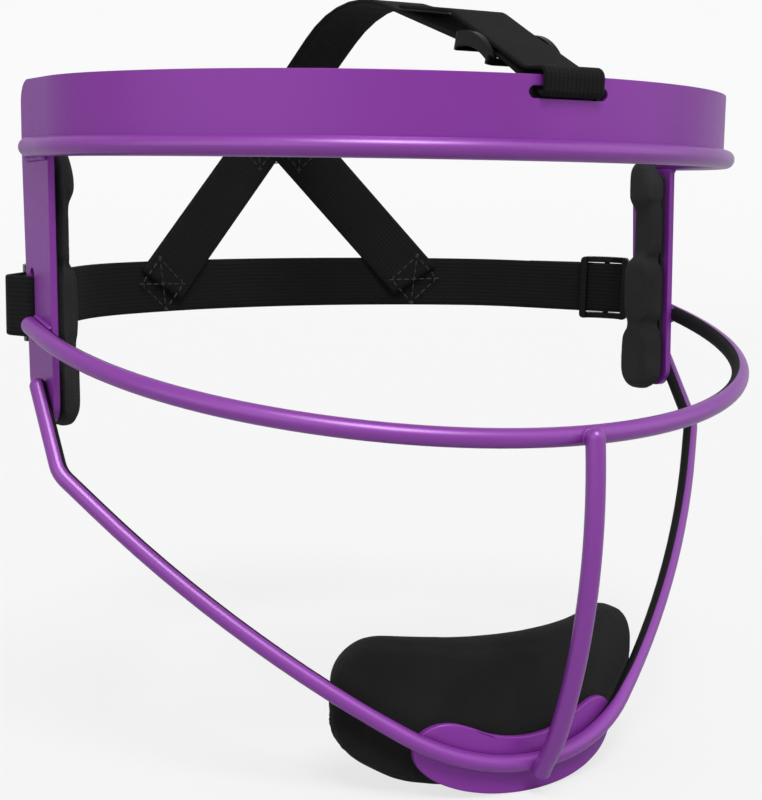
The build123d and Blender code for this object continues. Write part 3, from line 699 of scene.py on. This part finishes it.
def sweep_flank(mesh, centre, mirror):
    """Draws a temple pad's front side out to the post's front edge, as one even, sloping flank.

    The solid's lobes stand on a narrow web. For each millimetre of height, first and last hold the pad's
    front and back, and full the back with the narrow pinches between lobes made shallower."""
    along = Vector((math.sin(toe) * mirror, math.cos(toe), 0))
    out = Vector((math.cos(toe) * mirror, -math.sin(toe), 0))
    corner = Vector((post_span / 2 * mirror, 0, 0))
    middle, front, slope, tallest = 8.2, 0.1, 0.22, 5.0
    top_lift, top_zone, foot_lift, foot_zone = 2.4, 18, 1.2, 14
    places = [v.co * to_mm + centre / MM - corner for v in mesh.vertices]
    setback = [p.dot(along) for p in places]
    height = [-p.dot(out) - tape_thickness for p in places]
    high, low = max(p.z for p in places), min(p.z for p in places)
    first, last = {}, {}
    for p, s in zip(places, setback):
        for row in range(round(p.z) - 1, round(p.z) + 2):
            first[row] = min(first.get(row, middle), s)
            last[row] = max(last.get(row, middle), s)
    near = range(-3, 4)
    wide = {row: max(last.get(row + k, middle) for k in near) for row in last}
    full = {row: min(wide.get(row + k, wide[row]) for k in near) for row in last}
    for v, p, s, h in zip(mesh.vertices, places, setback, height):
        row = round(p.z)
        if s < middle:
            share = (middle - s) / max(1.0, middle - first[row])
            share = min(1.0, share * (1 + 0.3 * max(0.0, 1 - h / 2)))
            target = middle - share * (middle - front) * (1 - slope * max(0.0, h) / tallest)
        else:
            target = middle + (s - middle) * (full[row] - middle) / max(1.0, last[row] - middle)
        fade = clamp((min(high - p.z, p.z - low) - 1.0) / 4.0)
        v.co += along * ((target - s) * fade * from_mm)
        v.co.z += from_mm * top_lift * max(0.0, (p.z - high + top_zone) / top_zone)
        v.co.z += from_mm * foot_lift * max(0.0, (low + foot_zone - p.z) / foot_zone)
    with editing(mesh) as work:
        for i in range(3):
            bmesh.ops.smooth_vert(
                work, verts=work.verts, factor=0.5, use_axis_x=True, use_axis_y=True, use_axis_z=True
            )


print("one unit of a pad's skin is", to_mm, "mm of the pad")


# %% Round the chin pad's ends
def corner_drop(x, end, radius):
    """How far a rounded corner of some radius falls below the edge, at x from the middle."""
    reach = max(0.0, min(radius, x - (end - radius)))
    return radius - math.sqrt(radius * radius - reach * reach)


def round_ends(mesh, centre):
    """Rounds the chin pad's four corners more, by drawing its ends' upper and lower edges in."""
    upper_radii, lower_radii = (8.0, 12.5), (9.0, 17.0)
    places = [v.co * to_mm + centre / MM for v in mesh.vertices]
    end = max(p.x for p in places)
    high, low = max(p.z for p in places), min(p.z for p in places)
    level = (high + low) / 2
    for v, p in zip(mesh.vertices, places):
        up = p.z > level
        old, new = upper_radii if up else lower_radii
        fallen = corner_drop(abs(p.x), end, old)
        cut = corner_drop(abs(p.x), end, new) - fallen
        share = min(1.0, abs(p.z - level) / (high - level - fallen))
        v.co.z += (-1 if up else 1) * cut * share * from_mm


print("a 10 mm corner falls", corner_drop(10.0, 10.0, 10.0), "mm at its end")


# %% Fill a pad
def baked(piece):
    """The mesh that a piece's modifiers make, as plain data, with the modifiers taken off."""
    graph = bpy.context.evaluated_depsgraph_get()
    mesh = bpy.data.meshes.new_from_object(piece.evaluated_get(graph))
    piece.modifiers.clear()
    return mesh


def swell(pad, cap, frames=16):
    """Blows a pad up by cloth pressure. No point goes further out or in than the cap."""
    cloth = pad.modifiers.new("cloth", "CLOTH")
    cloth.settings.quality = 5
    cloth.settings.use_pressure = True
    cloth.settings.uniform_pressure_force = 4.0
    cloth.settings.effector_weights.gravity = 0.0
    cloth.settings.tension_stiffness = cloth.settings.compression_stiffness = 15
    cloth.point_cache.frame_start, cloth.point_cache.frame_end = 1, frames
    for step in range(1, frames + 1):
        scene.frame_set(step)
    swollen = baked(pad)
    for v, w in zip(pad.data.vertices, swollen.vertices):
        push = (w.co - v.co).dot(v.normal)
        v.co += v.normal * max(-cap, min(cap, push))
    scene.frame_set(1)


def foam_pad(node, voxel, saddle=None, flank=0, inset=0.35):
    """A soft copy of a solid: remeshed, drawn in by inset and blown out again, in millimetres."""
    pad = new_object(node + "_foam", nodes[node].data.copy())
    mesh = pad.data
    with editing(mesh) as work:
        bmesh.ops.remove_doubles(work, verts=work.verts, dist=0.002 * MM)
    if saddle:
        half, low, high, lift = saddle
        for v in mesh.vertices:
            if abs(v.co.x) < half * MM and low * MM < v.co.z < high * MM:
                v.co.z += lift * MM
    centre = sum((v.co for v in mesh.vertices), Vector()) / len(mesh.vertices)
    mesh.transform(Matrix.Scale(UP, 4) @ Matrix.Translation(-centre))
    for kind, settings in (
        ("REMESH", {"mode": "VOXEL", "voxel_size": voxel * UP * MM}),
        ("SMOOTH", {"factor": 0.5, "iterations": 6}),
        ("DISPLACE", {"strength": -inset * UP * MM, "mid_level": 0.0}),
    ):
        modifier = pad.modifiers.new(kind.lower(), kind)
        for key, value in settings.items():
            setattr(modifier, key, value)
    pad.data = baked(pad)
    if flank:
        sweep_flank(pad.data, centre, flank)
    if node == "chin_pad":
        round_ends(pad.data, centre)
    swell(pad, inset * UP * MM)
    finer = pad.modifiers.new("finer", "SUBSURF")
    finer.levels = finer.render_levels = 1
    pad.data = baked(pad)
    pad.data.name = pad.name
    pad.data.transform(Matrix.Translation(centre) @ Matrix.Scale(1 / UP, 4))
    pad.data.shade_smooth()
    print(pad.name, "faces:", len(pad.data.polygons))
    return pad


# %% [markdown]
# ## Pad cloth
# The face is a fine knit over the foam: rows of tiny stitches, which a stretched Voronoi pattern gives
# at half a millimetre, with lint in the colour and a trace of sheen where the surface turns away. The
# chin pad is a little darker than the others.


# %% Knit the pad cloth and make the four pads
def pad_cloth(name, shade):
    cloth = Finish(name, Roughness=0.92, Specular_IOR_Level=0.12, Sheen_Weight=0.03, Sheen_Roughness=0.6)
    rows = cloth.add("Mapping", Vector=cloth.place, Scale=(1.0, 1.0, 1.7)).outputs[0]
    knit = cloth.add(
        "TexVoronoi", {"feature": "SMOOTH_F1"}, Vector=rows, Scale=1500.0, Smoothness=0.4
    ).outputs["Distance"]
    lint, dents = cloth.noise(4200.0, 4.0), cloth.noise(70.0, 2.0)
    fuzz = cloth.bump(lint, 0.3, 0.05, cloth.bump(knit, 0.45, 0.12))
    tone = cloth.remap(cloth.calc("MULTIPLY", lint, dents), 0.0, 1.0, 0.1, 0.45)
    cloth.join(
        Normal=cloth.bump(dents, 0.25, 0.5, fuzz),
        Base_Color=cloth.blend(tone, grey(shade - 6), grey(shade + 6)),
    )
    return cloth.material


temple_cloth, chin_cloth = pad_cloth("temple_pad_cloth", 43), pad_cloth("chin_pad_cloth", 25)
saddle_floor = (8.3, 7.0, 9.0, 3.3)     # half width, lowest, highest, and how far it is lifted
for node, cloth, voxel, saddle, flank in (
    ("chin_pad", chin_cloth, 1.1, None, 0), ("forehead_pad", temple_cloth, 1.1, saddle_floor, 0),
    ("left_temple_pad", temple_cloth, 0.8, None, 1), ("right_temple_pad", temple_cloth, 0.8, None, -1),
):
    pad = foam_pad(node, voxel, saddle, flank)
    wear(pad, cloth, node)

# %% [markdown]
# ## A row that repeats
# Stitches and weld beads are the same idea: one small form repeated along a line. Geometry Nodes does
# that from a mesh of bare edges: it turns the edges into curves, resamples them at an even spacing, sets
# a small stretched ball on every point, turns it along the line, varies its size a little by a fixed
# seed, and makes the result real. Each line carries a "lift" vector, which says where its outside is.

# %% Build the row's node tree
rows = bpy.data.node_groups.new("row_of_beads", "GeometryNodeTree")
for label, kind in (
    ("Lines", "Geometry"), ("Spacing", "Float"), ("Length", "Float"), ("Width", "Float"),
    ("Height", "Float"), ("Variation", "Float"), ("Seed", "Int"),
):
    rows.interface.new_socket(label, in_out="INPUT", socket_type="NodeSocket" + kind)
rows.interface.new_socket("Row", in_out="OUTPUT", socket_type="NodeSocketGeometry")

row = Recipe(rows, prefix="")
given = row.add("NodeGroupInput").outputs
curves = row.add("GeometryNodeMeshToCurve", Mesh=given["Lines"])
points = row.add(
    "GeometryNodeResampleCurve", {"mode": "LENGTH"}, Curve=curves.outputs[0], Length=given["Spacing"]
)
ball = row.add("GeometryNodeMeshUVSphere", Segments=10, Rings=6, Radius=0.5)
tangent = row.add("GeometryNodeInputTangent").outputs[0]
along = row.add("FunctionNodeAlignRotationToVector", {"axis": "X"}, Vector=tangent)
lift = row.add("GeometryNodeInputNamedAttribute", {"data_type": "FLOAT_VECTOR"}, Name="lift")
upright = row.add(
    "FunctionNodeAlignRotationToVector", {"axis": "Z", "pivot_axis": "X"},
    Rotation=along.outputs[0], Vector=lift.outputs[0],
)
size = row.add("ShaderNodeCombineXYZ", X=given["Length"], Y=given["Width"], Z=given["Height"])
least = row.add("ShaderNodeMath", {"operation": "SUBTRACT"}, _0=1.0, _1=given["Variation"])
chance = row.add(
    "FunctionNodeRandomValue", {"data_type": "FLOAT"}, _2=least.outputs[0], _3=1.0, Seed=given["Seed"]
)
varied = row.add(
    "ShaderNodeVectorMath", {"operation": "SCALE"}, _0=size.outputs[0], Scale=chance.outputs[1]
)
placed = row.add(
    "GeometryNodeInstanceOnPoints", Points=points.outputs[0], Instance=ball.outputs[0],
    Rotation=upright.outputs[0], Scale=varied.outputs[0],
)
real = row.add("GeometryNodeRealizeInstances", Geometry=placed.outputs[0])
row.add("NodeGroupOutput", _0=real.outputs[0])
print("row tree nodes:", len(rows.nodes))


# %% Define the helper for rows
def make_row(name, lines, values, material):
    """Runs the row tree over lines in millimetres, each a list of points and lifts, and keeps the mesh."""
    verts, edges, lifts = [], [], []
    for line in lines:
        start = len(verts)
        verts += [point * MM for point, lift in line]
        lifts += [lift.normalized() for point, lift in line]
        edges += [(start + i, start + i + 1) for i in range(len(line) - 1)]
    mesh = bpy.data.meshes.new(name)
    mesh.from_pydata(verts, edges, [])
    attribute = mesh.attributes.new("lift", "FLOAT_VECTOR", "POINT")
    attribute.data.foreach_set("vector", [c for lift in lifts for c in lift])
    piece = new_object(name, mesh)
    modifier = piece.modifiers.new("row", "NODES")
    modifier.node_group = rows
    sockets = {i.name: i.identifier for i in rows.interface.items_tree if i.in_out == "INPUT"}
    for label, value in values.items():
        modifier[sockets[label]] = value
    piece.data = baked(piece)
    piece.data.shade_smooth()
    wear(piece, material)
    print(name, "lines:", len(lines), "faces:", len(piece.data.polygons))


def both_sides(lines):
    """Lines and lifts on the wearer's left, and the same mirrored on the right."""
    flips = [Vector((mirror, 1, 1)) for mirror in (1, -1)]
    return [[(p * flip, lift * flip) for p, lift in line] for flip in flips for line in lines]


print("row inputs:", [i.name for i in rows.interface.items_tree if i.in_out == "INPUT"])

# %% [markdown]
# ## Stitching
# Each leg is sewn inside the rear strap with a box of stitches and a cross, and both are sewn to the
# crown strap's tab in the same way. Webbing is sewn with thick black thread, about two and a half
# millimetres a stitch. A stitch is a short capsule that sinks halfway into the weave.


# %% Sew the webbing
def sewn_box(centre, along, across, lift, long, wide):
    """The lines of a box and its cross, in the plane of along and across."""
    a, c = along * long / 2, across * wide / 2
    ring = [centre + a + c, centre + a - c, centre - a - c, centre - a + c, centre + a + c]
    cross = [[ring[0], ring[2]], [ring[1], ring[3]]]
    return [[(p, lift) for p in line] for line in [ring, *cross]]


thread = Finish("sewing_thread", Roughness=0.6)
twist = thread.add(
    "TexWave", {"bands_direction": "DIAGONAL"}, Vector=thread.place, Scale=900.0
).outputs["Fac"]
thread.join(Normal=thread.bump(twist, 0.5, 0.05), Base_Color=thread.blend(twist, grey(20), grey(44, 2)))

face = leg_rise.cross(leg_across).normalized()
face = face if face.y < 0 else -face
on_legs = []
for where, long, wide in ((0.5, 9.0, 10.5), (leg_end - 12.5, 8.0, 8.5)):
    centre = foot + leg_rise * where + face * half_webbing
    on_legs += sewn_box(centre, leg_rise, leg_across, face, long, wide)

outside, first_stitch, seam_length, steps = [], 35.5, 9.0, 8
nape_centre = Vector((0, strap_back - strap_level - nape))
for height in (-4.6, 4.6):
    line = []
    for i in range(steps + 1):
        angle = math.asin((first_stitch + i * seam_length / steps) / nape)
        out = Vector((math.sin(angle), math.cos(angle)))
        spot = on_strap(nape_centre + out * (nape + half_webbing), height)
        line.append((spot, Vector((out.x, out.y, 0))))
    outside.append(line)

side, back, up = Vector((1, 0, 0)), Vector((0, 1, 0)), Vector((0, 0, 1))
tab = sewn_box(Vector((0, tab_back + half_webbing, 4.6)), up, side, back, 7.5, 10.5)
stitch = {"Spacing": 2.3 * MM, "Length": 2.0 * MM, "Width": 0.42 * MM, "Height": 0.42 * MM}
make_row(
    "webbing_stitches", both_sides(on_legs) + both_sides(outside) + tab,
    {**stitch, "Variation": 0.12, "Seed": 5}, thread.material,
)

# %% [markdown]
# ## Weld beads
# The wires are welded where they lap: the rail along the posts' top edges, the eye bar on the posts'
# outer faces, and the centre bar over the eye bar. A weld is a run of small overlapping drops that fills
# the corner between two parts. Powder coat covers it, so it gets the coat and only its shape shows.


# %% Lay the weld beads
def ring_of(centre, normal, radius, count=24):
    """A closed line round a point where two wires cross."""
    side = normal.cross(Vector((1, 0, 0))).normalized()
    other = normal.cross(side).normalized()
    turns = [2 * math.pi * i / count for i in range(count + 1)]
    return [(centre + (side * math.cos(t) + other * math.sin(t)) * radius, normal) for t in turns]


def on_post(setback, drop, offset):
    """A point on the left post's outer face, from the post's front edge, downwards and outwards."""
    return Vector((*beside_post(setback, offset), -drop))


down, post_out = Vector((0, 0, -1)), Vector((math.cos(toe), -math.sin(toe), 0))
rail_height, eye_height, bead_ring = 2.35, 1.75, 1.35
eye_radius, eye_reach, eye_drop, eye_tilt = 2.1, 81.6, 42.0, math.radians(12.95)
under_rail = [(on_post(setback, rail_height, 0.35), post_out + down) for setback in (1.0, 13.0)]
beside_eye_bar = []
for edge in (down, up):
    drops = {s: eye_drop - s * math.tan(eye_tilt) - edge.z * eye_height for s in (0.4, 9.6)}
    beside_eye_bar.append([(on_post(s, drop, 0.45), post_out + edge) for s, drop in drops.items()])
eye_nose = Vector((0, -eye_reach * math.cos(eye_tilt), -eye_drop - eye_reach * math.sin(eye_tilt)))
round_centre_bar = ring_of(eye_nose - back * eye_radius, -back, bead_ring)
bead = {"Spacing": 0.55 * MM, "Length": 1.5 * MM, "Width": 1.5 * MM, "Height": 1.1 * MM}
make_row(
    "weld_beads", both_sides([under_rail, *beside_eye_bar]) + [round_centre_bar],
    {**bead, "Variation": 0.22, "Seed": 3}, coat,
)

# %% [markdown]
# ## Hook tape
# Thin tape with a bed of tiny hooks lies between each pad and the steel, so that a pad can be pulled off
# and washed. Only its edge shows. A dense noise stands for the hooks.

# %% Finish the hook tape
tape = Finish("hook_tape_black", Roughness=0.75)
hooks = tape.add("TexVoronoi", Vector=tape.place, Scale=1900.0).outputs["Distance"]
tape.join(Normal=tape.bump(hooks, 0.9, 0.2, invert=True), Base_Color=tape.blend(hooks, grey(30), grey(12)))
tapes = [name for name in nodes if name.endswith("_tape")]
dress(tapes, tape.material)
print("hook tapes dressed:", len(tapes))

# %% [markdown]
# ## Sliders
# A slider is moulded in glossy black plastic: two arched rails, two end bars under the strap and a round
# pin between its layers. Moulded edges are never sharp, so the Bevel node rounds them, and a fine noise
# in the roughness keeps the gloss from looking like glass.

# %% Finish the sliders
plastic = Finish("slider_black", Specular_IOR_Level=0.18)
scuffs = plastic.noise(1400.0, 4.0, Roughness=0.7)
moulded_edges = plastic.add("Bevel", {"samples": 4}, Radius=0.3 * MM).outputs[0]
plastic.join(
    Normal=plastic.bump(plastic.noise(380.0, 2.0), 0.08, 0.1, moulded_edges),
    Roughness=plastic.remap(scuffs, 0.16, 0.3, 0.3, 0.75),
    Base_Color=plastic.blend(scuffs, grey(2, 0), grey(7)),
)
sliders = [name for name in nodes if name.endswith("_slider")]
dress(sliders, plastic.material)
print("sliders dressed:", len(sliders))
